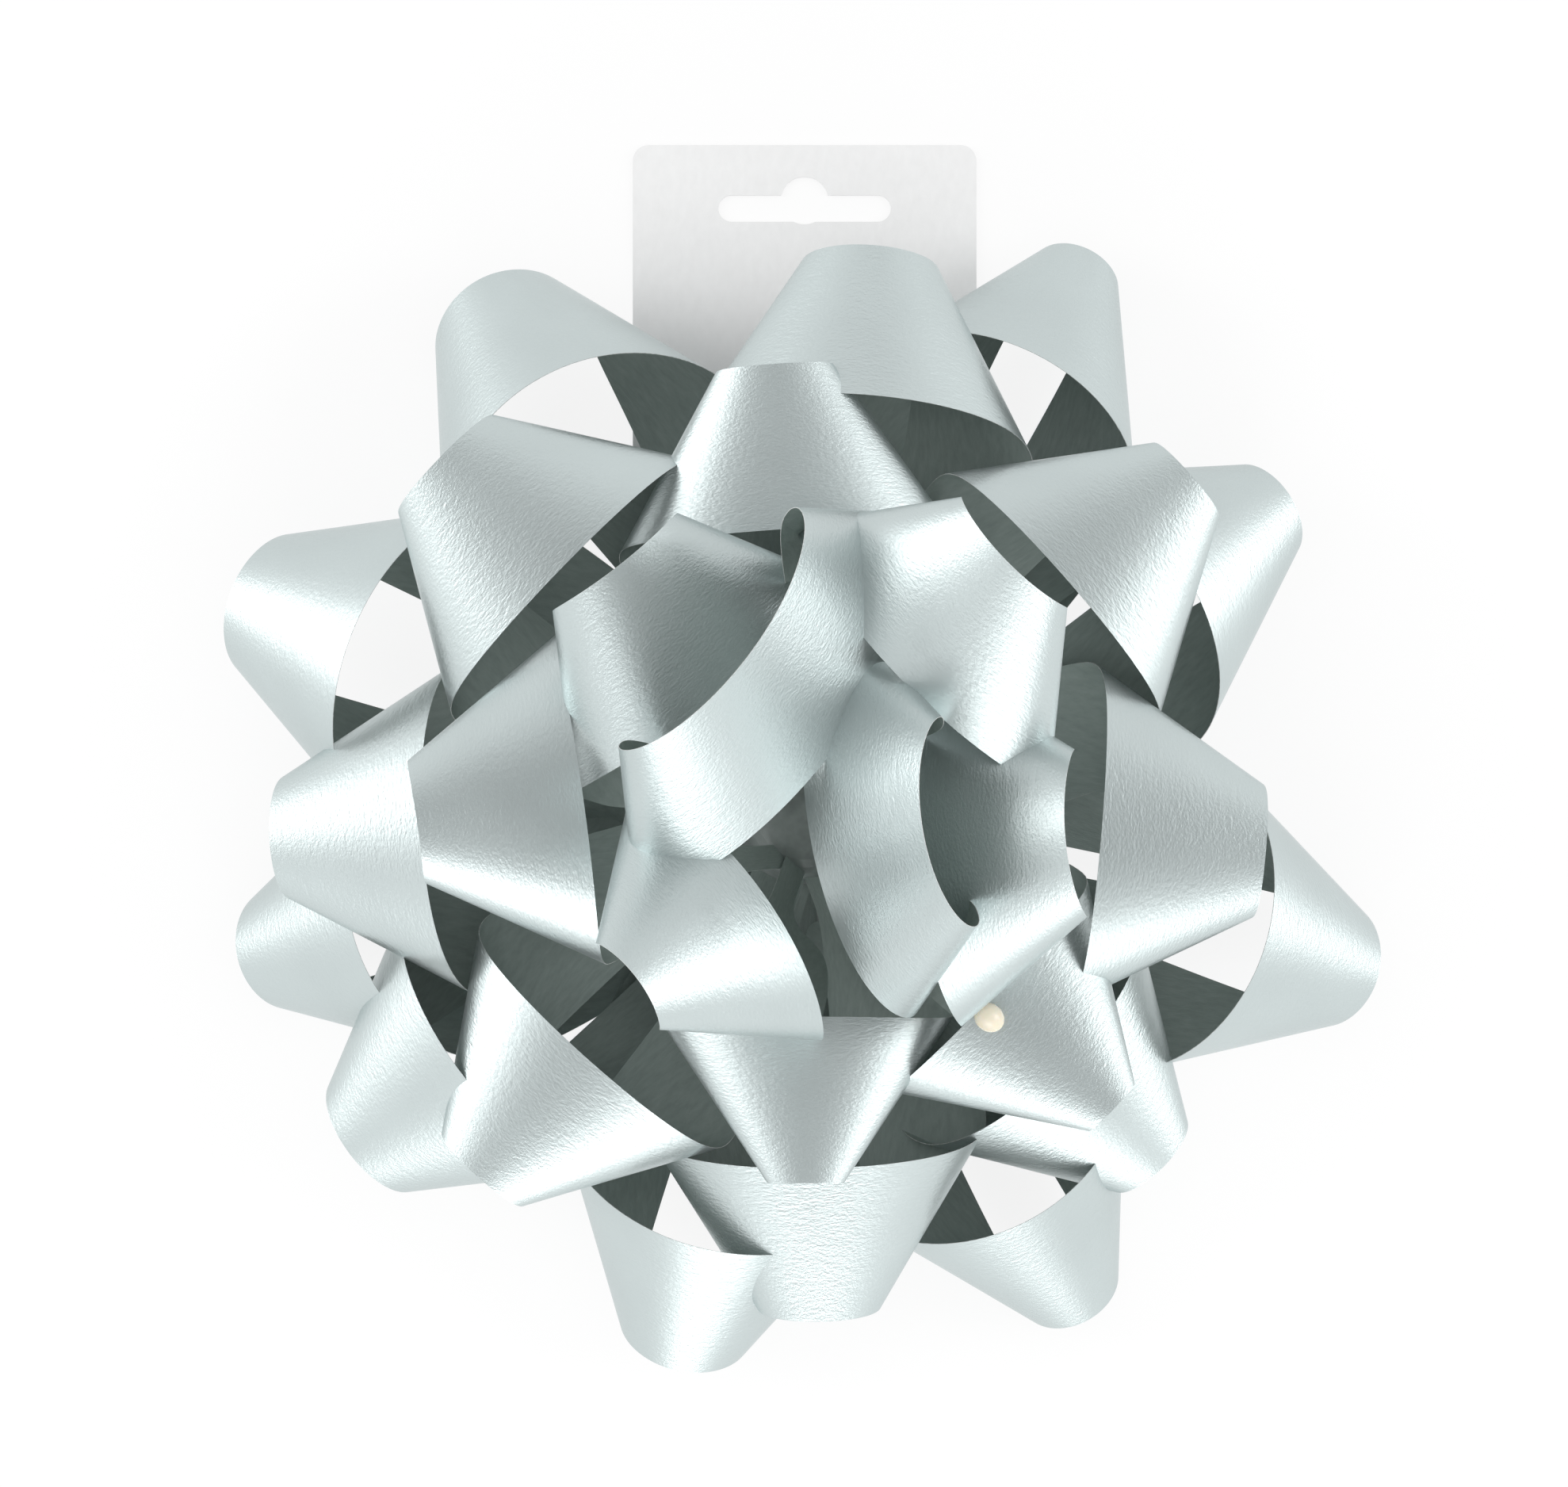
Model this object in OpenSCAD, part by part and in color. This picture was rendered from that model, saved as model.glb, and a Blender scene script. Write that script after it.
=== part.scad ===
// Star gift bow on a hang card.
// The card lies flat with its back on z = 0. The bow's own axis is the Z axis, and
// +Y points to the hang slot. Every ribbon loop is one strip of its own, wound on a
// flattened cone whose narrow end points away from the middle of the bow.

/* [Bow] */
// Nominal distance across the outer ring, which every loop length scales with (mm)
bow_diameter = 216; // [150:1:270]
// Width of the ribbon (mm)
ribbon_width = 30; // [24:0.5:36]
// Thickness of the ribbon (mm)
ribbon_thickness = 0.12; // [0.1:0.01:0.2]
// Width the ribbon is gathered to where it enters the glue (mm)
root_width = 5; // [4:0.5:8]
// Share of each leg that is drawn in towards the root
gather_share = 0.58; // [0.4:0.02:0.7]
// Share of each leg that is fully drawn in
pinch_share = 0.15; // [0.1:0.01:0.3]
// Height of one loop's root over the next one down (mm)
root_pitch = 0.65; // [0.55:0.05:1]

/* [Core] */
// Diameter of the glue core that holds the roots (mm)
core_diameter = 28; // [22:1:34]
// Radius of the ring the loop roots start on (mm)
root_radius = 6; // [4:0.5:8]
// Height of the lowest loop root over the backing disc (mm)
first_root = 0.7; // [0.6:0.1:2]
// Glue over the highest root (mm)
core_cover = 4; // [2:0.5:8]
// Size of the stray bead of glue (mm)
bead_length = 5; // [4:0.5:8]

/* [Backing] */
// Diameter of the backing disc under the loops (mm)
disc_diameter = 48; // [34:1:60]
// Thickness of the backing disc (mm)
disc_thickness = 0.6; // [0.4:0.1:1.2]
// Diameter of the foam pad between disc and card (mm)
pad_diameter = 30; // [20:1:44]
// Thickness of the foam pad (mm)
pad_thickness = 1; // [0.6:0.1:2]

/* [Card] */
// Width of the hang card (mm)
card_width = 65; // [50:1:90]
// Distance from the bow's axis to the top edge of the card (mm)
card_top = 125.5; // [115:0.5:150]
// Distance from the bow's axis to the lower edge of the card (mm)
card_bottom = 40; // [28:1:60]
// Thickness of the card (mm)
card_thickness = 0.4; // [0.3:0.05:0.8]
// Corner radius of the card (mm)
card_corner = 3; // [1:0.5:8]
// Width of the hang slot (mm)
slot_width = 32.6; // [26:0.1:36]
// Height of the hang slot's straight part (mm)
slot_height = 5; // [4:0.1:7]
// Radius of the bump over the middle of the slot (mm)
slot_bump = 4.5; // [3:0.1:6]
// Distance from the top edge to the middle of the slot (mm)
slot_drop = 12; // [9:0.5:20]

/* [Hidden] */

reach = bow_diameter / 216;          // every loop length scales with the bow
pad_z = card_thickness;              // underside of the foam pad
disc_z = pad_z + pad_thickness;      // underside of the backing disc
core_z = disc_z + disc_thickness;    // underside of the glue core
leg_step = 0.3;                      // one leg of a loop rides over the other by this
flatness = 1.35;                     // over 1 pulls the sides of the cone down and in
steps_long = 48;                     // facets along a loop
steps_wide = 2;                      // facets across a loop
cone_steps = 144;                    // samples round a cone

// One row a loop: heading and climb of its cone (degrees), half length of its ribbon
// (mm), half breadth and height of the cone at unit distance from its tip, place in
// the stack of roots, sideways shift of the root (mm, + is to the left), and how far
// the loop leans over sideways (degrees, + is to the right).
OUTER = [
  [ 121,  0, 122, 0.52, 0.84,  2,   2,  0],
  [  86, 10, 113, 0.60, 0.60, 10,  -5,  0],
  [  63,  0, 118, 0.60, 0.80,  3,   0,  0],
  [  33,  4, 110, 0.58, 0.75,  7,   0,  0],
  [ -17,  0, 115, 0.55, 0.80,  5,   1,  0],
  [ -45,  6,  97, 0.60, 0.60,  8,   0,  0],
  [ -61,  0, 111, 0.57, 0.80,  0,   0,  0],
  [-103,  2, 112, 0.55, 0.75,  4,   0,  0],
  [-143,  5, 112, 0.58, 0.65,  9,   0,  0],
  [-165,  0, 113, 0.55, 0.80,  1,   0,  0],
  [ 159,  3, 121, 0.55, 0.75,  6,   0,  0]];
MIDDLE = [
  [ 136, 20, 106, 0.62, 0.50, 14,   0,  0],
  [  94, 20,  92, 0.63, 0.42, 20,   0,  0],
  [  41, 18, 101, 0.65, 0.50, 15,   0,  0],
  [  -5, 22,  98, 0.60, 0.50, 16,   0,  0],
  [ -44, 25,  85, 0.65, 0.50, 17,   0,  0],
  [ -90, 30,  78, 0.64, 0.42, 19,   0,  0],
  [-132, 17,  98, 0.63, 0.50, 13,   0,  0],
  [-177, 12, 106, 0.60, 0.60, 12,   0,  0],
  [-172, 36,  93, 0.60, 0.50, 18,  -8,  0],
  [ -89, 10, 101, 0.62, 0.50, 11,   1,  0]];
INNER = [
  [ 128, 41,  88, 0.53, 0.50, 25,   1,  2],
  [  43, 53, 106, 0.61, 0.50, 26,   1, -6],
  [   4, 55,  97, 0.56, 0.50, 23,  -9, -2],
  [-144, 61,  92, 0.59, 0.60, 24,   6,  0],
  [ 144, 66, 116, 0.50, 0.40, 22,  -7,  7],
  [  10, 73, 104, 0.56, 0.42, 21,   1,  5]];

top_root = core_z + first_root + 26 * root_pitch;
silver = [0.76, 0.79, 0.79];

// Unit direction from the cone's tip to its skin, t degrees round from the top
function cone_ray(t, a, h) =
  let (v = [-1, a * sin(t), h * pow((1 + cos(t)) / 2, flatness)]) v / norm(v);

// Running angle over the skin, from one lower side round over the top to the other
function cone_turn(u) =
  [for (i = 0, s = 0; i < len(u);
        s = s + (i + 1 < len(u) ? acos(min(1, u[i] * u[i + 1])) : 0), i = i + 1) s];

function smooth(q) = let (c = max(0, min(1, q))) c * c * (3 - 2 * c);
function climb(p, e) = [p.x * cos(e) - p.z * sin(e), p.y, p.x * sin(e) + p.z * cos(e)];
function lean(p, e) = [p.x, p.y * cos(e) - p.z * sin(e), p.y * sin(e) + p.z * cos(e)];
function heading(p, a) = [p.x * cos(a) - p.y * sin(a), p.x * sin(a) + p.y * cos(a), p.z];
function cross_unit(a, b) = let (c = cross(a, b)) c / norm(c);

// Middle surface of one loop: rows of points that lie along the cone's own straight
// lines, so that the ribbon bends without creasing, and square off towards the root
function loop_rows(row) =
  let (az = row[0], el = row[1], half = row[2] * reach, a = row[3], h = row[4],
       z = core_z + first_root + row[5] * root_pitch,
       u = [for (i = [0:cone_steps]) cone_ray(-180 + 360 * i / cone_steps, a, h)],
       turn = cone_turn(u), side = turn[cone_steps] / 2,
       tables = [for (k = [0:2]) [for (i = [0:cone_steps]) [turn[i] - side, u[i][k]]]],
       r0 = half / tan(side), tip = r0 / cos(side))
  [for (i = [0:steps_long])
    let (f0 = turn[i * cone_steps / steps_long] - side, s0 = r0 * tan(f0),
         left = 1 - abs(s0) / half, square = smooth(2 * left),
         w = root_width + (ribbon_width - root_width)
             * smooth((left - pinch_share) / (gather_share - pinch_share)))
    [for (j = [0:steps_wide])
      let (v = w * (j / steps_wide - 0.5), s = s0 * (1 + square * v / r0),
           f = atan2(s, r0 + v), r = norm([s, r0 + v]),
           ray = abs(f) > side
             ? [-cos(abs(f) - side), -sign(f) * sin(abs(f) - side), 0]
             : let (q = [for (k = [0:2]) lookup(f, tables[k])]) q / norm(q),
           p = [tip, 0, leg_step * s0 / half] + r * ray)
      heading(lean(climb(p, el), row[7]) + [root_radius, row[6], z], az)]];

// A strip with thickness laid on rows of points
module strip(rows) {
  n = len(rows) - 1; m = len(rows[0]) - 1; k = m + 1; all = (n + 1) * k;
  out = [for (i = [0:n]) for (j = [0:m])
    cross_unit(rows[min(i + 1, n)][j] - rows[max(i - 1, 0)][j],
               rows[i][min(j + 1, m)] - rows[i][max(j - 1, 0)])];
  flat = [for (i = [0:n]) for (j = [0:m]) rows[i][j]];
  half = ribbon_thickness / 2;
  points = concat([for (i = [0:all - 1]) flat[i] + out[i] * half],
                  [for (i = [0:all - 1]) flat[i] - out[i] * half]);
  quads = concat(
    [for (i = [0:n - 1]) for (j = [0:m - 1])
      [i * k + j, i * k + j + 1, (i + 1) * k + j + 1, (i + 1) * k + j]],
    [for (i = [0:n - 1]) for (j = [0:m - 1])
      [all + i * k + j, all + (i + 1) * k + j, all + (i + 1) * k + j + 1, all + i * k + j + 1]],
    [for (i = [0:n - 1])
      [i * k, (i + 1) * k, all + (i + 1) * k, all + i * k]],
    [for (i = [0:n - 1])
      [i * k + m, all + i * k + m, all + (i + 1) * k + m, (i + 1) * k + m]],
    [for (j = [0:m - 1]) [j, all + j, all + j + 1, j + 1]],
    [for (j = [0:m - 1])
      [n * k + j, n * k + j + 1, all + n * k + j + 1, all + n * k + j]]);
  polyhedron(points, [for (q = quads) each [[q[0], q[1], q[2]], [q[0], q[2], q[3]]]]);
}

module ribbon_loop(row) { color(silver) strip(loop_rows(row)); }

module slot_outline() {
  hull() for (s = [-1, 1]) translate([s * (slot_width - slot_height) / 2, 0])
    circle(d = slot_height, $fn = 32);
  translate([0, slot_height / 2 - 1]) circle(r = slot_bump, $fn = 48);
}

module header_card() color([0.94, 0.94, 0.93]) {
  height = card_top + card_bottom;
  linear_extrude(card_thickness) difference() {
    translate([0, (card_top - card_bottom) / 2]) offset(r = card_corner, $fn = 48)
      square([card_width - 2 * card_corner, height - 2 * card_corner], center = true);
    translate([0, card_top - slot_drop]) slot_outline();
  }
}

module foam_pad() color([0.9, 0.9, 0.86])
  translate([0, 0, pad_z]) cylinder(d = pad_diameter, h = pad_thickness, $fn = 72);

module backing_disc() color([0.85, 0.86, 0.86])
  translate([0, 0, disc_z]) cylinder(d = disc_diameter, h = disc_thickness, $fn = 96);

// A squat dome of glue over the stack of roots
module glue_core() color([0.93, 0.9, 0.78]) {
  tall = top_root + core_cover - core_z; r = core_diameter / 2;
  translate([0, 0, core_z]) rotate_extrude($fn = 48)
    polygon(concat([[0, 0], [r, 0]],
      [for (q = [0:10:90]) [r * pow(cos(q), 0.6), tall * (0.55 + 0.45 * sin(q))]]));
}

// The stray bead of glue that was left on a middle loop
module glue_bead() color([0.93, 0.9, 0.78])
  translate([33, -37, 54]) rotate([0, 20, -40])
    scale([1.2, 1, 0.9]) sphere(d = bead_length, $fn = 24);

module outer_loop_1() ribbon_loop(OUTER[0]);
module outer_loop_2() ribbon_loop(OUTER[1]);
module outer_loop_3() ribbon_loop(OUTER[2]);
module outer_loop_4() ribbon_loop(OUTER[3]);
module outer_loop_5() ribbon_loop(OUTER[4]);
module outer_loop_6() ribbon_loop(OUTER[5]);
module outer_loop_7() ribbon_loop(OUTER[6]);
module outer_loop_8() ribbon_loop(OUTER[7]);
module outer_loop_9() ribbon_loop(OUTER[8]);
module outer_loop_10() ribbon_loop(OUTER[9]);
module outer_loop_11() ribbon_loop(OUTER[10]);
module middle_loop_1() ribbon_loop(MIDDLE[0]);
module middle_loop_2() ribbon_loop(MIDDLE[1]);
module middle_loop_3() ribbon_loop(MIDDLE[2]);
module middle_loop_4() ribbon_loop(MIDDLE[3]);
module middle_loop_5() ribbon_loop(MIDDLE[4]);
module middle_loop_6() ribbon_loop(MIDDLE[5]);
module middle_loop_7() ribbon_loop(MIDDLE[6]);
module middle_loop_8() ribbon_loop(MIDDLE[7]);
module middle_loop_9() ribbon_loop(MIDDLE[8]);
module middle_loop_10() ribbon_loop(MIDDLE[9]);
module inner_loop_1() ribbon_loop(INNER[0]);
module inner_loop_2() ribbon_loop(INNER[1]);
module inner_loop_3() ribbon_loop(INNER[2]);
module inner_loop_4() ribbon_loop(INNER[3]);
module inner_loop_5() ribbon_loop(INNER[4]);
module inner_loop_6() ribbon_loop(INNER[5]);

header_card();
foam_pad();
backing_disc();
glue_core();
glue_bead();
outer_loop_1();
outer_loop_2();
outer_loop_3();
outer_loop_4();
outer_loop_5();
outer_loop_6();
outer_loop_7();
outer_loop_8();
outer_loop_9();
outer_loop_10();
outer_loop_11();
middle_loop_1();
middle_loop_2();
middle_loop_3();
middle_loop_4();
middle_loop_5();
middle_loop_6();
middle_loop_7();
middle_loop_8();
middle_loop_9();
middle_loop_10();
inner_loop_1();
inner_loop_2();
inner_loop_3();
inner_loop_4();
inner_loop_5();
inner_loop_6();
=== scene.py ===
# %% [markdown]
# # A pre-made gift bow on its hang card
#
# This lesson builds a big silver star bow: twenty-seven loops of metallised ribbon, pinched at
# their roots and set in hot glue on a small plastic disc, stuck with a foam pad to a hang card.
# A fixed frame holds the card, the pad, the disc, the glue and a plain copy of every loop. The
# frame is loaded first, because each new piece takes its place from it.

# %% Load the frame
import math

import bpy
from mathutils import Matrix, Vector


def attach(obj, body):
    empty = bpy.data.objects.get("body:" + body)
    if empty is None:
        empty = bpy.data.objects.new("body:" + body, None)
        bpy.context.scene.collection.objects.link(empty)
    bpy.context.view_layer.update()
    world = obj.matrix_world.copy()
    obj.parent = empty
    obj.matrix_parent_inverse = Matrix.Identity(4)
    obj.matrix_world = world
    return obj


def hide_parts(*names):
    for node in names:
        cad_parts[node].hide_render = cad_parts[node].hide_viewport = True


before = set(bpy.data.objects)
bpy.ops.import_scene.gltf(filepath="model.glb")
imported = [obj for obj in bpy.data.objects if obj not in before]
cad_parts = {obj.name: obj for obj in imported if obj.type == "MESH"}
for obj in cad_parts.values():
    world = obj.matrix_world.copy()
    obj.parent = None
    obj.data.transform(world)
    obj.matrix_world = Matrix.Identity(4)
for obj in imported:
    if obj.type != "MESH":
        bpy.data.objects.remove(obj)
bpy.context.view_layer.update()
MM = 0.001

# %% [markdown]
# ## The camera
#
# The bow lies on its card and is seen from straight above, so the camera looks down along Z. A
# long lens from more than a metre away keeps the loops from looking stretched near the edges.
# A wide lens close by would also fill the frame, but it would enlarge the top loops too much.

# %% Camera straight above the bow
CAMERA_HEIGHT = 1100 * MM
VIEW_WIDTH = 296.7 * MM
SENSOR = 36.0

camera_data = bpy.data.cameras.new("camera")
camera_data.sensor_width = SENSOR
camera_data.lens = SENSOR * CAMERA_HEIGHT / VIEW_WIDTH
camera_data.clip_end = 20
camera = bpy.data.objects.new("camera", camera_data)
bpy.context.collection.objects.link(camera)
camera.location = (-3.9 * MM, 12.3 * MM, CAMERA_HEIGHT)
bpy.context.scene.camera = camera
print("lens:", round(camera_data.lens, 1), "mm")

# %% [markdown]
# ## Small helpers for node trees
#
# Shader trees and geometry trees are both made of nodes joined by links. Writing every node and
# link out by hand hides the idea behind a page of bookkeeping, so three short helpers do it: one
# adds a node and fills its sockets, one does arithmetic, and one builds a vector. A value that is
# itself a socket gets linked, and anything else is typed into the socket.

# %% Helpers: node, maths, vector
def fill(tree, socket, value):
    """Links a socket to the value when the value is a socket, and otherwise types it in."""
    if isinstance(value, bpy.types.NodeSocket):
        tree.links.new(value, socket)
    elif value is not None:
        socket.default_value = value


def node(tree, kind, inputs=None, **settings):
    """Adds a node, sets its own settings, and fills the inputs, which are named or numbered."""
    made = tree.nodes.new(kind)
    for name, value in settings.items():
        setattr(made, name, value)
    for key, value in (inputs or {}).items():
        fill(tree, made.inputs[key], value)
    return made


def maths(tree, operation, *values, clamp=False):
    """One Math node, such as maths(tree, "ADD", a, b)."""
    made = node(tree, "ShaderNodeMath", dict(enumerate(values)), operation=operation)
    made.use_clamp = clamp
    return made.outputs[0]


def vector(tree, x=0.0, y=0.0, z=0.0):
    return node(tree, "ShaderNodeCombineXYZ", {0: x, 1: y, 2: z}).outputs[0]


print("helpers ready")

# %% [markdown]
# ## Finishes
#
# A procedural finish is worked out from the piece's own coordinates, so it needs no image. The
# ribbon carries a map called `ribbon`: its first value runs along the strip and its second runs
# across it, both in metres, so a grain drawn on it bends with the loop as the real one does.

# %% Helper: a new finish
def finish(name, rough=0.5, metal=0.0, **sockets):
    """A material with its Principled shader. Plain numbers are set on the shader's own sockets."""
    material = bpy.data.materials.new(name)
    material.use_nodes = True
    tree = material.node_tree
    shader = tree.nodes["Principled BSDF"]
    shader.inputs["Roughness"].default_value = rough
    shader.inputs["Metallic"].default_value = metal
    for socket, value in sockets.items():
        shader.inputs[socket.replace("_", " ")].default_value = value
    return material, tree, shader


def noise(tree, where, scale, detail=2.0, rough=0.5, stretch=(1, 1, 1)):
    """Fractal noise on the given coordinates, squeezed by stretch. Returns its 0 to 1 value."""
    placed = node(tree, "ShaderNodeMapping", {"Vector": where, "Scale": stretch}).outputs[0]
    return node(tree, "ShaderNodeTexNoise", {"Vector": placed, "Scale": scale, "Detail": detail,
                                             "Roughness": rough}).outputs[0]


def ramp(tree, value, *stops):
    """A colour ramp: each stop is (place, (red, green, blue))."""
    made = node(tree, "ShaderNodeValToRGB", {0: value})
    band = made.color_ramp
    while len(band.elements) < len(stops):
        band.elements.new(0.5)
    for element, (place, colour) in zip(band.elements, stops):
        element.position = place
        element.color = (*colour, 1)
    return made.outputs[0]


def bump(tree, height, strength, distance):
    return node(tree, "ShaderNodeBump", {"Height": height, "Strength": strength,
                                         "Distance": distance}).outputs[0]


print("finish helpers ready")

# %% [markdown]
# ### Satin silver face
#
# The outside of the ribbon is plastic film with a thin layer of vapour-coated aluminium, embossed
# with a very fine pebbled grain. It mirrors its surroundings softly, and long highlights run
# across the strip wherever it bends. A metallic shader does that, with a medium roughness that
# varies a little, and a bump of tiny dimples, slightly longer along the strip than across it.

# %% Silver face
SILVER = (0.575, 0.64, 0.64)
silver, tree, shader = finish("satin_silver_face", rough=0.40, metal=0.9, Anisotropic=0.15)
strip = node(tree, "ShaderNodeUVMap", uv_map="ribbon").outputs[0]
pebbles = noise(tree, strip, 1800, detail=3, rough=0.6, stretch=(0.7, 1.25, 1))
streaks = noise(tree, strip, 800, detail=2, rough=0.5, stretch=(0.4, 1.3, 1))
clouds = noise(tree, strip, 45, detail=2)
height = maths(tree, "MULTIPLY_ADD", streaks, 0.6, pebbles)
tree.links.new(bump(tree, height, 0.6, 0.00014), shader.inputs["Normal"])
tint = ramp(tree, clouds, (0.3, tuple(c * 0.95 for c in SILVER)), (0.7, SILVER))
tree.links.new(tint, shader.inputs["Base Color"])
tree.links.new(maths(tree, "MULTIPLY_ADD", pebbles, 0.16, 0.32), shader.inputs["Roughness"])
print("silver face:", silver.name)

# %% [markdown]
# ### Dull back
#
# The inside of each loop is the bare back of the film: a dark grey-green plastic with almost no
# shine, faintly mottled. It makes the deep shadows between the loops, so its tone matters as much
# as the silver's.

# %% Back of the film
back, tree, shader = finish("dull_film_back", rough=0.55, Specular_IOR_Level=0.35)
strip = node(tree, "ShaderNodeUVMap", uv_map="ribbon").outputs[0]
mottle = noise(tree, strip, 500, detail=4, rough=0.65)
fine = noise(tree, strip, 1500, detail=2)
tint = ramp(tree, mottle, (0.30, (0.27, 0.325, 0.305)), (0.72, (0.35, 0.41, 0.388)))
tree.links.new(tint, shader.inputs["Base Color"])
tree.links.new(bump(tree, fine, 0.25, 0.0001), shader.inputs["Normal"])
print("film back:", back.name)

# %% [markdown]
# ### Cut edge
#
# The strip is slit from a wide roll, and the slit leaves a pale edge where the clear film shows
# past the metal. It is thin, yet it draws a fine light line round every loop.

# %% Slit edge
edge, tree, shader = finish("pale_slit_edge", rough=0.45)
strip = node(tree, "ShaderNodeUVMap", uv_map="ribbon").outputs[0]
nicks = noise(tree, strip, 1200, detail=3, rough=0.7)
tint = ramp(tree, nicks, (0.35, (0.36, 0.38, 0.37)), (0.65, (0.74, 0.76, 0.75)))
tree.links.new(tint, shader.inputs["Base Color"])
print("slit edge:", edge.name)

# %% [markdown]
# ## The loop tree
#
# One loop is a strip of film bent into a teardrop and pinched where its ends meet. Film can't
# stretch, so the strip lies on a cone: every straight line across it points at the cone's tip.
# The tree follows that rule instead of pushing points about by eye. It first draws a closed path
# of unit length directions, which is the cone's shape. Then it lays out a flat strip and, for
# each of its points, finds how far round the path and how far from the tip it must lie. Measuring
# along the path gives that angle directly, so the strip keeps its true length and width.

# %% Loop tree: its named inputs
RIBBON_WIDTH = 30 * MM
ROOT_WIDTH = 5 * MM
GATHER_START = 0.42
GATHER_END = 0.85

loop_tree = bpy.data.node_groups.new("ribbon_loop", "GeometryNodeTree")
INPUTS = [("Heading", "NodeSocketFloat", 0.0), ("Climb", "NodeSocketFloat", 0.0),
          ("Lean", "NodeSocketFloat", 0.0),
          ("Half Length", "NodeSocketFloat", 0.11), ("Spread", "NodeSocketFloat", 0.58),
          ("Rise", "NodeSocketFloat", 0.7), ("Root Height", "NodeSocketFloat", 0.003),
          ("Side Shift", "NodeSocketFloat", 0.0), ("Root Radius", "NodeSocketFloat", 0.006),
          ("Width", "NodeSocketFloat", RIBBON_WIDTH), ("Root Width", "NodeSocketFloat", ROOT_WIDTH),
          ("Thickness", "NodeSocketFloat", 0.00012), ("Gather Start", "NodeSocketFloat", GATHER_START),
          ("Gather End", "NodeSocketFloat", GATHER_END), ("Flatness", "NodeSocketFloat", 1.35),
          ("Leg Step", "NodeSocketFloat", 0.0003), ("Ripple", "NodeSocketFloat", 0.0001),
          ("Seed", "NodeSocketFloat", 0.0), ("Rows Along", "NodeSocketInt", 181),
          ("Rows Across", "NodeSocketInt", 11), ("Path Points", "NodeSocketInt", 361)]
loop_tree.interface.new_socket("Geometry", in_out="OUTPUT", socket_type="NodeSocketGeometry")
for name, kind, value in INPUTS:
    socket = loop_tree.interface.new_socket(name, in_out="INPUT", socket_type=kind)
    socket.default_value = value
given = loop_tree.nodes.new("NodeGroupInput").outputs
print("loop tree inputs:", [name for name, _, _ in INPUTS])

# %% [markdown]
# ### The cone's path
#
# The path is a line of points, each moved to a direction from the cone's tip: straight back at
# both ends, out to the sides in between, and risen to its highest in the middle, at the nose of
# the loop. Every direction is scaled to length one, so the path lies on a ball of radius one,
# and distance along it is the same as angle.

# %% Cone path
T = loop_tree


def m(operation, *values, **extra):
    """Maths in the loop tree."""
    return maths(T, operation, *values, **extra)


line = node(T, "GeometryNodeCurvePrimitiveLine", {"End": (1, 0, 0)}).outputs[0]
line = node(T, "GeometryNodeResampleCurve", {"Curve": line, "Count": given["Path Points"]}).outputs[0]
index = node(T, "GeometryNodeInputIndex").outputs[0]
share = m("DIVIDE", index, m("SUBTRACT", given["Path Points"], 1.0))
turn = m("MULTIPLY", m("SUBTRACT", share, 0.5), 2 * math.pi)
sideways = m("MULTIPLY", m("SINE", turn), given["Spread"])
swell = m("MULTIPLY_ADD", m("COSINE", turn), 0.5, 0.5)
upward = m("MULTIPLY", m("POWER", swell, given["Flatness"]), given["Rise"])
direction = node(T, "ShaderNodeVectorMath", {0: vector(T, -1.0, sideways, upward)},
                 operation="NORMALIZE").outputs[0]
path = node(T, "GeometryNodeSetPosition", {"Geometry": line, "Position": direction}).outputs[0]
whole_angle = node(T, "GeometryNodeCurveLength", {0: path}).outputs[0]
half_angle = m("MULTIPLY", whole_angle, 0.5)
near_radius = m("DIVIDE", given["Half Length"], m("TANGENT", half_angle))
tip = m("DIVIDE", near_radius, m("COSINE", half_angle))
print("cone path: angle, radius and tip are worked out in the tree")

# %% [markdown]
# ### The flat strip and its gather
#
# A grid stands for the flat strip: X runs along it and Y across it. Towards both ends the strip
# is gathered into the root, so its width shrinks there on a smooth curve. Cutting the grid
# narrower would be simpler, but a real gather keeps the full film in its pleats, so the map for
# the grain keeps the full width all the way.

# %% Flat strip
strip_grid = node(T, "GeometryNodeMeshGrid", {
    "Size X": m("MULTIPLY", given["Half Length"], 2.0), "Size Y": 1.0,
    "Vertices X": given["Rows Along"], "Vertices Y": given["Rows Across"]}).outputs["Mesh"]
flat = node(T, "ShaderNodeSeparateXYZ", {0: node(T, "GeometryNodeInputPosition").outputs[0]}).outputs
along, across = flat[0], flat[1]
map_value = vector(T, along, m("MULTIPLY", across, given["Width"]), given["Seed"])
strip_mapped = node(T, "GeometryNodeStoreNamedAttribute", {
    "Geometry": strip_grid, "Name": "ribbon", "Value": map_value},
    data_type="FLOAT2", domain="CORNER").outputs[0]


def smooth(value):
    """The gentle 0 to 1 step 3x2 - 2x3 of a value, held between 0 and 1."""
    held = m("ADD", value, 0.0, clamp=True)
    return m("MULTIPLY", m("MULTIPLY", held, held), m("MULTIPLY_ADD", held, -2.0, 3.0))


depth = m("DIVIDE", m("ABSOLUTE", along), given["Half Length"])
open_share = smooth(m("DIVIDE", m("SUBTRACT", given["Gather End"], depth),
                      m("SUBTRACT", given["Gather End"], given["Gather Start"])))
wide = m("MULTIPLY_ADD", m("SUBTRACT", given["Width"], given["Root Width"]), open_share,
         given["Root Width"])
offset = m("MULTIPLY", across, wide)
print("strip and gather ready")

# %% [markdown]
# ### Strip onto cone
#
# For each point, the distance along the strip and the offset across it become an angle and a
# radius about the cone's tip. The angle is a distance along the path, so Sample Curve hands back
# the direction there. Past the ends of the path the strip runs straight on.

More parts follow.
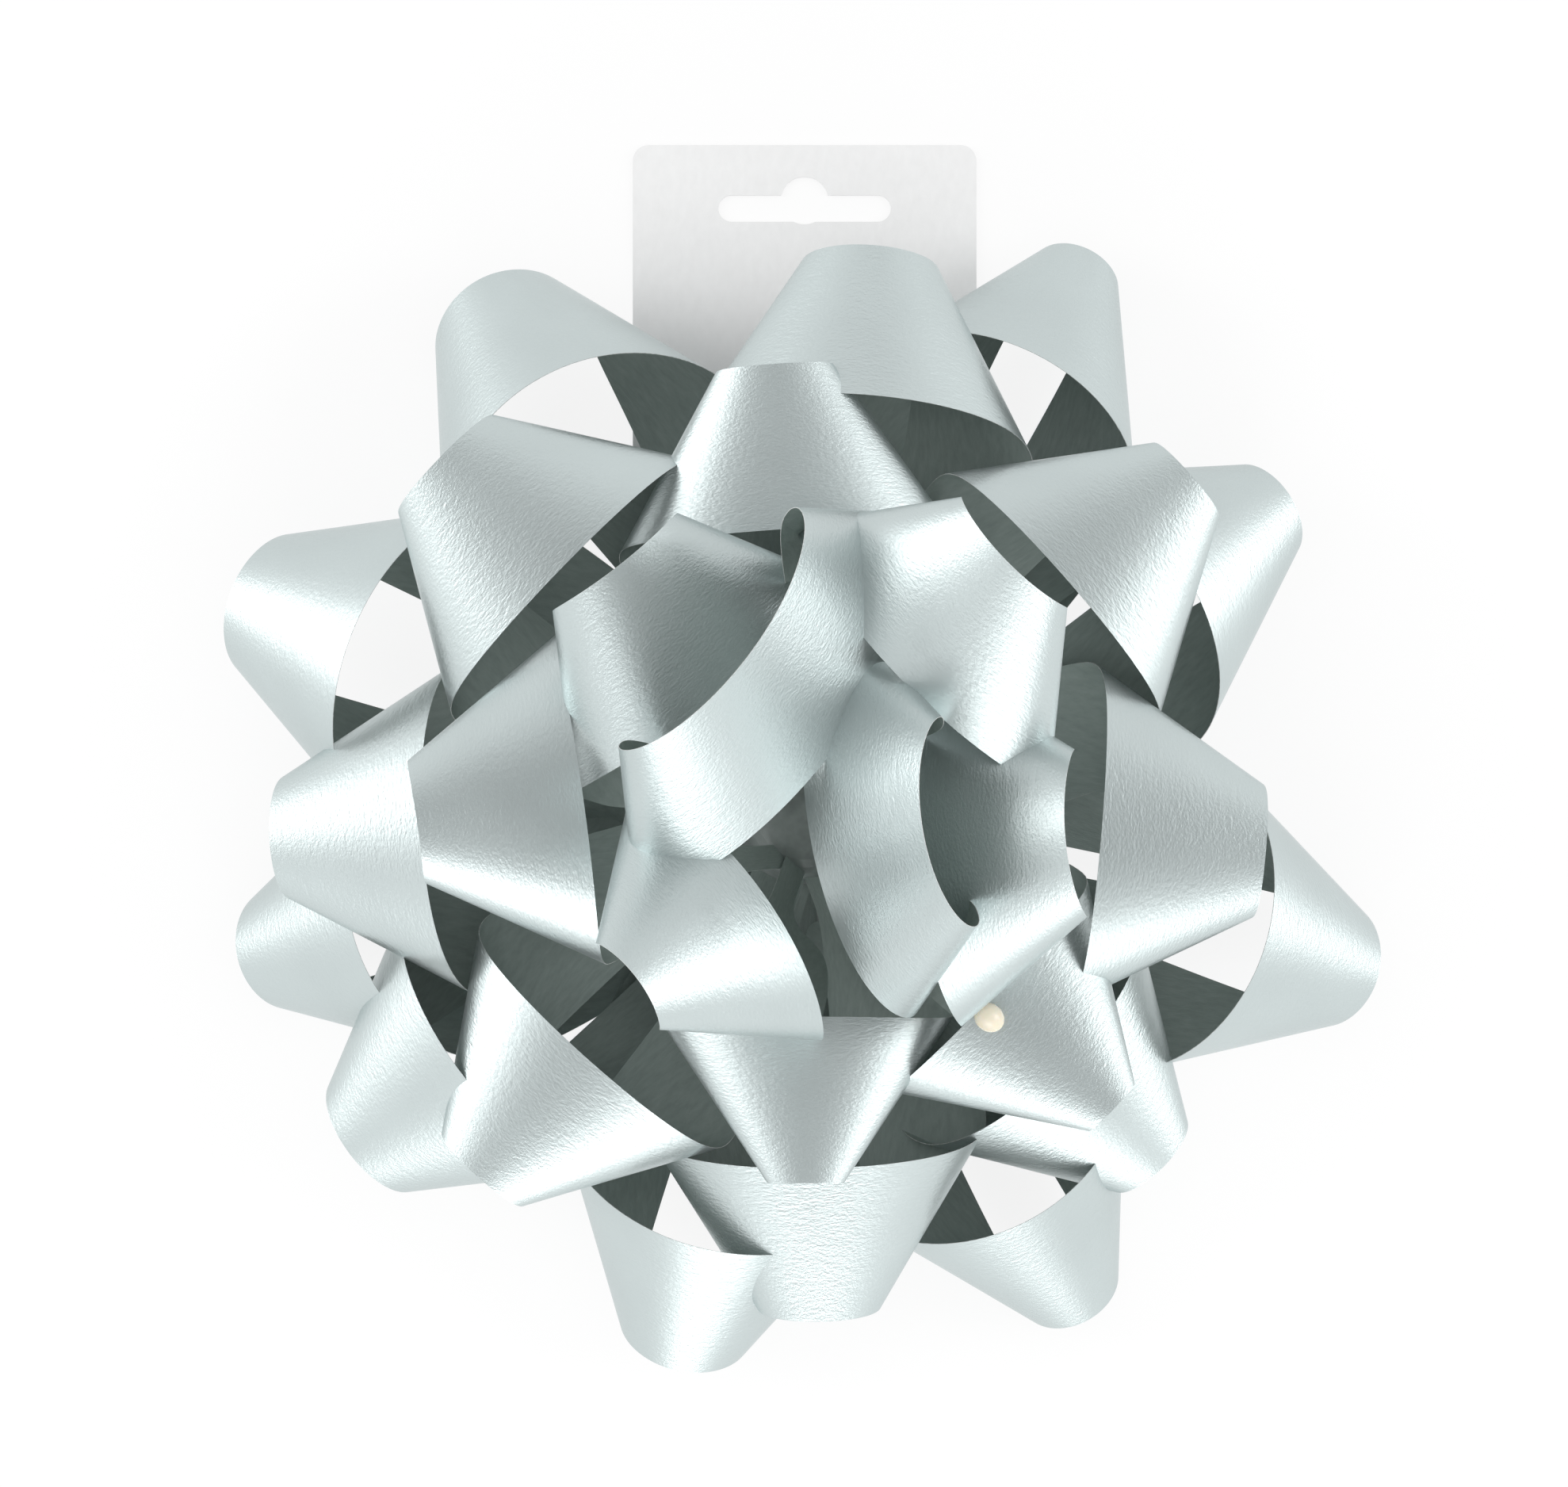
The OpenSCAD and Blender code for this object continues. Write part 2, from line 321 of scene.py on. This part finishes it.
# %% Strip onto cone
fan = smooth(m("MULTIPLY", m("SUBTRACT", 1.0, depth), 2.0))
ray = m("ADD", near_radius, offset)
run = m("MULTIPLY", along, m("ADD", 1.0, m("MULTIPLY", fan, m("DIVIDE", offset, near_radius))))
angle = m("ARCTAN2", run, ray)
radius = m("SQRT", m("ADD", m("MULTIPLY", run, run), m("MULTIPLY", ray, ray)))
sampled = node(T, "GeometryNodeSampleCurve", {"Curves": path, "Length": m("ADD", angle, half_angle)},
               mode="LENGTH", use_all_curves=True)
on_path = node(T, "ShaderNodeVectorMath", {0: sampled.outputs["Position"]},
               operation="NORMALIZE").outputs[0]
past = m("MAXIMUM", m("SUBTRACT", m("ABSOLUTE", angle), half_angle), 0.0)
beyond = vector(T, m("MULTIPLY", m("COSINE", past), -1.0),
                m("MULTIPLY", m("SINE", past), m("MULTIPLY", m("SIGN", angle), -1.0)), 0.0)
pick = node(T, "GeometryNodeSwitch", {"Switch": m("GREATER_THAN", past, 0.0), "False": on_path,
                                      "True": beyond}, input_type="VECTOR").outputs[0]
reached = node(T, "ShaderNodeVectorMath", {0: pick, "Scale": radius}, operation="SCALE").outputs[0]
step = m("MULTIPLY", given["Leg Step"], m("DIVIDE", along, given["Half Length"]))
bent = node(T, "ShaderNodeVectorMath", {0: reached, 1: vector(T, tip, 0.0, step)},
            operation="ADD").outputs[0]
print("strip bends onto its cone")

# %% [markdown]
# ### Into its place in the bow
#
# The finished loop is tipped up by its climb, leant over to one side, moved out to the root's
# place in the glue, and turned round the bow's axis to its heading. All four happen on the points
# themselves, so the loop's object can stay at the origin.

# %% Placing the loop
tipped = node(T, "ShaderNodeVectorRotate", {"Vector": bent, "Angle": m("MULTIPLY", given["Climb"], -1.0)},
              rotation_type="Y_AXIS").outputs[0]
leaned = node(T, "ShaderNodeVectorRotate", {"Vector": tipped, "Angle": given["Lean"]},
              rotation_type="X_AXIS").outputs[0]
seated = node(T, "ShaderNodeVectorMath", {
    0: leaned, 1: vector(T, given["Root Radius"], given["Side Shift"], given["Root Height"])},
    operation="ADD").outputs[0]
turned = node(T, "ShaderNodeVectorRotate", {"Vector": seated, "Angle": given["Heading"]},
              rotation_type="Z_AXIS").outputs[0]
sheet = node(T, "GeometryNodeSetPosition", {"Geometry": strip_mapped, "Position": turned}).outputs[0]
print("loop placed")

# %% [markdown]
# ### Ripples, thickness and the three finishes
#
# Handled film is never perfectly even, so slow noise pushes the sheet in and out by about a tenth
# of a millimetre, which bends the highlights a little. Then the sheet becomes a thin closed
# solid: it is moved half a thickness back, extruded by the whole thickness for the silver side
# and the rim, and closed by a flipped copy for the dull back. Every face stores which of the
# three it is, and three Set Material nodes at the end read that.

# %% Ripple, thickness and finishes
normal = node(T, "GeometryNodeInputNormal").outputs[0]
wave_at = vector(T, m("MULTIPLY", along, 30.0), m("MULTIPLY", across, 0.7), given["Seed"])
wave = node(T, "ShaderNodeTexNoise", {"Vector": wave_at, "Scale": 1.0, "Detail": 1.5}).outputs[0]
calm = m("MULTIPLY", open_share, given["Ripple"])
push = m("MULTIPLY", m("SUBTRACT", wave, 0.5), m("MULTIPLY", calm, 2.0))
rippled = node(T, "GeometryNodeSetPosition", {
    "Geometry": sheet, "Offset": node(T, "ShaderNodeVectorMath", {0: normal, "Scale": push},
                                      operation="SCALE").outputs[0]}).outputs[0]
inward = node(T, "ShaderNodeVectorMath", {0: normal, "Scale": m("MULTIPLY", given["Thickness"], -0.5)},
              operation="SCALE").outputs[0]
under = node(T, "GeometryNodeSetPosition", {"Geometry": rippled, "Offset": inward}).outputs[0]


def mark(geometry, value, selection=None):
    """Stores on each chosen face which finish it takes: 0 silver, 1 back, 2 slit edge."""
    inputs = {"Geometry": geometry, "Name": "side", "Value": value}
    if selection is not None:
        inputs["Selection"] = selection
    return node(T, "GeometryNodeStoreNamedAttribute", inputs, data_type="INT",
                domain="FACE").outputs[0]


raised = node(T, "GeometryNodeExtrudeMesh", {"Mesh": mark(under, 0), "Offset Scale": given["Thickness"],
                                             "Individual": False}, mode="FACES")
front = mark(raised.outputs["Mesh"], 2, raised.outputs["Side"])
rear = node(T, "GeometryNodeFlipFaces", {0: mark(under, 1)}).outputs[0]
both = T.nodes.new("GeometryNodeJoinGeometry")
T.links.new(front, both.inputs[0])
T.links.new(rear, both.inputs[0])
closed = node(T, "GeometryNodeMergeByDistance", {"Geometry": both.outputs[0],
                                                 "Distance": 0.000001}).outputs[0]
sharp = m("GREATER_THAN", node(T, "GeometryNodeInputMeshEdgeAngle").outputs[0], 0.9)
shaded = node(T, "GeometryNodeSetShadeSmooth", {0: closed, "Shade Smooth": True},
              domain="FACE").outputs[0]
shaded = node(T, "GeometryNodeSetShadeSmooth", {0: shaded, "Selection": sharp, "Shade Smooth": False},
              domain="EDGE").outputs[0]
shape = node(T, "GeometryNodeRealizeInstances", {0: shaded}).outputs[0]
side = node(T, "GeometryNodeInputNamedAttribute", {"Name": "side"}, data_type="INT").outputs[0]
for value, material in enumerate((silver, back, edge)):
    chosen = node(T, "FunctionNodeCompare", {"A": side, "B": value}, data_type="INT", operation="EQUAL")
    shape = node(T, "GeometryNodeSetMaterial", {"Geometry": shape, "Selection": chosen.outputs[0],
                                                "Material": material}).outputs[0]
T.links.new(shape, T.nodes.new("NodeGroupOutput").inputs[0])
print("loop tree nodes:", len(T.nodes))

# %% [markdown]
# ## The twenty-seven loops
#
# The bow has three rings. The outer ring's loops are the longest and lie almost flat, the middle
# ring's tip up by about twenty degrees, and the inner ones stand steeply and close the middle.
# Each line gives one loop: its heading round the bow and its climb in degrees, half its strip's
# length in millimetres, how far it spreads and rises, its root's place in the stack, counted from
# the disc up, and a sideways shift in millimetres. The inner loops are crowded and push each
# other over, so each of them also has a sideways lean, in degrees.

# %% Loop sizes
OUTER = [(121, 0, 122, .52, .84, 2, 2), (86, 10, 113, .60, .60, 10, -5), (63, 0, 118, .60, .80, 3, 0),
         (33, 4, 110, .58, .75, 7, 0), (-17, 0, 115, .55, .80, 5, 1), (-45, 6, 97, .60, .60, 8, 0),
         (-61, 0, 111, .57, .80, 0, 0), (-103, 2, 112, .55, .75, 4, 0), (-143, 5, 112, .58, .65, 9, 0),
         (-165, 0, 113, .55, .80, 1, 0), (159, 3, 121, .55, .75, 6, 0)]
MIDDLE = [(136, 20, 106, .62, .50, 14, 0), (94, 20, 92, .63, .42, 20, 0), (41, 18, 101, .65, .50, 15, 0),
          (-5, 22, 98, .60, .50, 16, 0), (-44, 25, 85, .65, .50, 17, 0), (-90, 30, 78, .64, .42, 19, 0),
          (-132, 17, 98, .63, .50, 13, 0), (-177, 12, 106, .60, .60, 12, 0),
          (-172, 36, 93, .60, .50, 18, -8), (-89, 10, 101, .62, .50, 11, 1)]
INNER = [(128, 41, 88, .53, .50, 25, 1, 2), (43, 53, 106, .61, .50, 26, 1, -6),
         (4, 55, 97, .56, .50, 23, -9, -2), (-144, 61, 92, .59, .60, 24, 6, 0),
         (144, 66, 116, .50, .40, 22, -7, 7), (10, 73, 104, .56, .42, 21, 1, 5)]
RINGS = {"outer": OUTER, "middle": MIDDLE, "inner": INNER}

FIRST_ROOT = 2.7 * MM
ROOT_PITCH = 0.65 * MM
print("loops:", {ring: len(rows) for ring, rows in RINGS.items()})

# %% [markdown]
# ### From tree to plain mesh
#
# A modifier's inputs are set by their identifiers, which the tree hands out, so a small table
# turns names into identifiers. When the modifier is set, the evaluated result is copied into a
# plain mesh and the modifier is thrown away. The piece is then an ordinary mesh at the origin.

# %% Making the loops
IDENTIFIER = {item.name: item.identifier for item in loop_tree.interface.items_tree
              if item.item_type == "SOCKET" and item.in_out == "INPUT"}


def from_tree(name, tree, identifiers, values):
    """Runs a geometry tree with these values and returns its result as a plain mesh object."""
    piece = bpy.data.objects.new(name, bpy.data.meshes.new(name))
    bpy.context.collection.objects.link(piece)
    modifier = piece.modifiers.new("tree", "NODES")
    modifier.node_group = tree
    for key, value in values.items():
        modifier[identifiers[key]] = value
    graph = bpy.context.evaluated_depsgraph_get()
    mesh = bpy.data.meshes.new_from_object(piece.evaluated_get(graph), depsgraph=graph,
                                           preserve_all_data_layers=True)
    piece.modifiers.clear()
    piece.data = mesh
    return piece


loops = {}
for ring, rows in RINGS.items():
    for number, (heading, climb, half, spread, rise, place, shift, *lean) in enumerate(rows, 1):
        name = f"{ring}_loop_{number}"
        loops[name] = from_tree("ribbon_" + name, loop_tree, IDENTIFIER, {
            "Heading": math.radians(heading), "Climb": math.radians(climb),
            "Lean": math.radians(sum(lean)),
            "Half Length": half * MM, "Spread": float(spread), "Rise": float(rise),
            "Root Height": FIRST_ROOT + place * ROOT_PITCH, "Side Shift": shift * MM,
            "Seed": 10.0 * len(loops)})
print("loops made:", len(loops), "faces each:", len(loops["outer_loop_1"].data.polygons))

# %% [markdown]
# ### What each loop stands for
#
# Each ribbon loop takes the place of its plain copy in the frame and rides with the bow. The flat area of
# the strip it was cut from, film of a known width and length gathered at the root, is worked out but not
# kept.

# %% Loops join the frame
def strip_area(half):
    """Flat area of a strip whose gathered ends count only at their gathered width."""
    total, cells = 0.0, 200
    for cell in range(cells):
        depth = (cell + 0.5) / cells
        x = min(1.0, max(0.0, (GATHER_END - depth) / (GATHER_END - GATHER_START)))
        total += ROOT_WIDTH + (RIBBON_WIDTH - ROOT_WIDTH) * x * x * (3 - 2 * x)
    return 2 * half * total / cells


for ring, rows in RINGS.items():
    for number, row in enumerate(rows, 1):
        name = f"{ring}_loop_{number}"
        piece = loops[name]
        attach(piece, "bow")
        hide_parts(name)
        strip_area(row[2] * MM)
print("loops ride with the bow")

# %% [markdown]
# ## Card, pad, disc and glue
#
# These keep their shapes from the frame, because their shapes are already right, and only get
# their finishes here. The card is coated white board, the pad is closed-cell foam tape, the disc
# is clear grey plastic, and the glue is cream hot-melt. In the core the glue is thin over folded
# film, so it looks grey there, and only the stray bead shows the cream of the glue itself.

# %% Card and small parts
card, tree, shader = finish("coated_white_board", rough=0.62, Specular_IOR_Level=0.3)
where = node(tree, "ShaderNodeTexCoord").outputs["Object"]
fibres = noise(tree, where, 700, detail=4, rough=0.6, stretch=(1, 0.5, 1))
tint = ramp(tree, fibres, (0.3, (0.83, 0.83, 0.83)), (0.7, (0.86, 0.86, 0.86)))
tree.links.new(tint, shader.inputs["Base Color"])
tree.links.new(bump(tree, fibres, 0.15, 0.0001), shader.inputs["Normal"])

foam, tree, shader = finish("closed_cell_foam", rough=0.9)
where = node(tree, "ShaderNodeTexCoord").outputs["Object"]
cells = node(tree, "ShaderNodeTexVoronoi", {"Vector": where, "Scale": 2200.0}).outputs[0]
tint = ramp(tree, cells, (0.0, (0.70, 0.69, 0.66)), (0.6, (0.86, 0.85, 0.82)))
tree.links.new(tint, shader.inputs["Base Color"])
tree.links.new(bump(tree, cells, 0.5, 0.0002), shader.inputs["Normal"])

plastic, tree, shader = finish("grey_plastic_disc", rough=0.4)
where = node(tree, "ShaderNodeTexCoord").outputs["Object"]
clouding = noise(tree, where, 120, detail=3)
tint = ramp(tree, clouding, (0.3, (0.50, 0.52, 0.52)), (0.7, (0.60, 0.62, 0.62)))
tree.links.new(tint, shader.inputs["Base Color"])
tree.links.new(bump(tree, clouding, 0.1, 0.0002), shader.inputs["Normal"])

glue, tree, shader = finish("cream_hot_melt", rough=0.32, Subsurface_Weight=0.3,
                            Subsurface_Radius=(0.003, 0.002, 0.001), Subsurface_Scale=1.0)
where = node(tree, "ShaderNodeTexCoord").outputs["Object"]
swirls = noise(tree, where, 160, detail=3)
tint = ramp(tree, swirls, (0.3, (0.66, 0.60, 0.47)), (0.7, (0.80, 0.75, 0.62)))
tree.links.new(tint, shader.inputs["Base Color"])
tree.links.new(bump(tree, swirls, 0.4, 0.0006), shader.inputs["Normal"])

roots, tree, shader = finish("glue_over_film_roots", rough=0.38, Specular_IOR_Level=0.4)
where = node(tree, "ShaderNodeTexCoord").outputs["Object"]
folds = noise(tree, where, 90, detail=4, rough=0.6)
tint = ramp(tree, folds, (0.35, (0.20, 0.23, 0.22)), (0.65, (0.40, 0.44, 0.43)))
tree.links.new(tint, shader.inputs["Base Color"])
tree.links.new(bump(tree, folds, 0.5, 0.0008), shader.inputs["Normal"])

for name, material in (("header_card", card), ("foam_pad", foam), ("backing_disc", plastic),
                       ("glue_core", roots), ("glue_bead", glue)):
    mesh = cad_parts[name].data
    mesh.materials.clear()
    mesh.materials.append(material)
print("frame pieces finished:", 5)

# %% [markdown]
# ## Floor, lamps and sky
#
# The bow lies on a plain white floor. The floor is white because its own colour is white, helped
# by a little glow that only the camera and mirror-like surfaces see, so no extra light is poured
# on the bow.

# %% Floor and sky
FLOOR_HALF = 4.0
FLOOR_LEVEL = -0.4 * MM


def square(name, half, level):
    """A flat square mesh about the Z axis at this level, facing up."""
    mesh = bpy.data.meshes.new(name)
    corners = [(-half, -half, level), (half, -half, level), (half, half, level), (-half, half, level)]
    mesh.from_pydata(corners, [], [(0, 1, 2, 3)])
    return mesh


floor_mesh = square("floor", FLOOR_HALF, FLOOR_LEVEL)
floor = bpy.data.objects.new("floor", floor_mesh)
bpy.context.collection.objects.link(floor)


def seen_directly(tree):
    """1 for rays from the camera, from mirror-like surfaces and through glass, and 0 otherwise."""
    ray = node(tree, "ShaderNodeLightPath").outputs
    first = maths(tree, "MAXIMUM", ray["Is Camera Ray"], ray["Is Glossy Ray"])
    return maths(tree, "MAXIMUM", first, ray["Is Transmission Ray"])


white, tree, shader = finish("white_floor", rough=0.9, Specular_IOR_Level=0.0,
                             Base_Color=(0.9, 0.9, 0.9, 1))
glow = node(tree, "ShaderNodeEmission", {"Color": (1, 1, 1, 1), "Strength": 1.0}).outputs[0]
amount = maths(tree, "MULTIPLY", seen_directly(tree), 0.85)
mixed = node(tree, "ShaderNodeMixShader", {0: amount, 1: shader.outputs[0], 2: glow}).outputs[0]
tree.links.new(mixed, tree.nodes["Material Output"].inputs[0])
floor_mesh.materials.append(white)

world = bpy.data.worlds.new("studio")
bpy.context.scene.world = world
world.use_nodes = True
tree = world.node_tree
backdrop = tree.nodes["Background"]
plain = node(tree, "ShaderNodeBackground", {"Color": (1, 1, 1, 1), "Strength": 0.8}).outputs[0]
backdrop.inputs["Color"].default_value = (1, 1, 1, 1)
backdrop.inputs["Strength"].default_value = 1.0
mixed = node(tree, "ShaderNodeMixShader", {0: seen_directly(tree), 1: plain,
                                           2: backdrop.outputs[0]}).outputs[0]
tree.links.new(mixed, tree.nodes["World Output"].inputs[0])
bpy.context.scene.view_settings.view_transform = "Standard"
print("floor and sky ready")

# %% [markdown]
# ### Soft boxes and a grey board
#
# Three rectangular lamps stand round the bow, low enough that their reflections fall on the noses
# of the loops. Straight up, a mirror would see only white sky and the silver would look like
# paper, so a grey board hangs above. Only reflections see it: it gives the upward faces their
# grey, and it casts no light or shadow on the bow.

# %% Soft boxes
LAMP_AIM = Vector((0, 0, 50 * MM))


def soft_box(name, place, size, power):
    """A rectangular area lamp at place, aimed at the middle of the bow."""
    data = bpy.data.lights.new(name, "AREA")
    data.shape = "RECTANGLE"
    data.size, data.size_y = size
    data.energy = power
    lamp = bpy.data.objects.new(name, data)
    bpy.context.collection.objects.link(lamp)
    lamp.location = place
    lamp.rotation_euler = (LAMP_AIM - Vector(place)).to_track_quat("-Z", "Y").to_euler()
    return lamp


soft_box("left_box", (-1.0, 0.25, 0.55), (0.5, 0.8), 5)
soft_box("right_box", (1.0, 0.05, 0.55), (0.5, 0.8), 4.5)
soft_box("low_box", (0.0, -1.0, 0.55), (0.8, 0.5), 5)

BOARD_HALF = 0.9
BOARD_HEIGHT = 1.3
flag_mesh = square("grey_flag", BOARD_HALF, BOARD_HEIGHT)
flag_mesh.flip_normals()
flag = bpy.data.objects.new("grey_flag", flag_mesh)
bpy.context.collection.objects.link(flag)
flag.visible_camera = flag.visible_diffuse = flag.visible_shadow = False
grey, tree, shader = finish("grey_board", rough=1.0, Base_Color=(0, 0, 0, 1))
shader.inputs["Specular IOR Level"].default_value = 0.0
shader.inputs["Emission Color"].default_value = (1, 1, 1, 1)
shader.inputs["Emission Strength"].default_value = 0.45
flag_mesh.materials.append(grey)
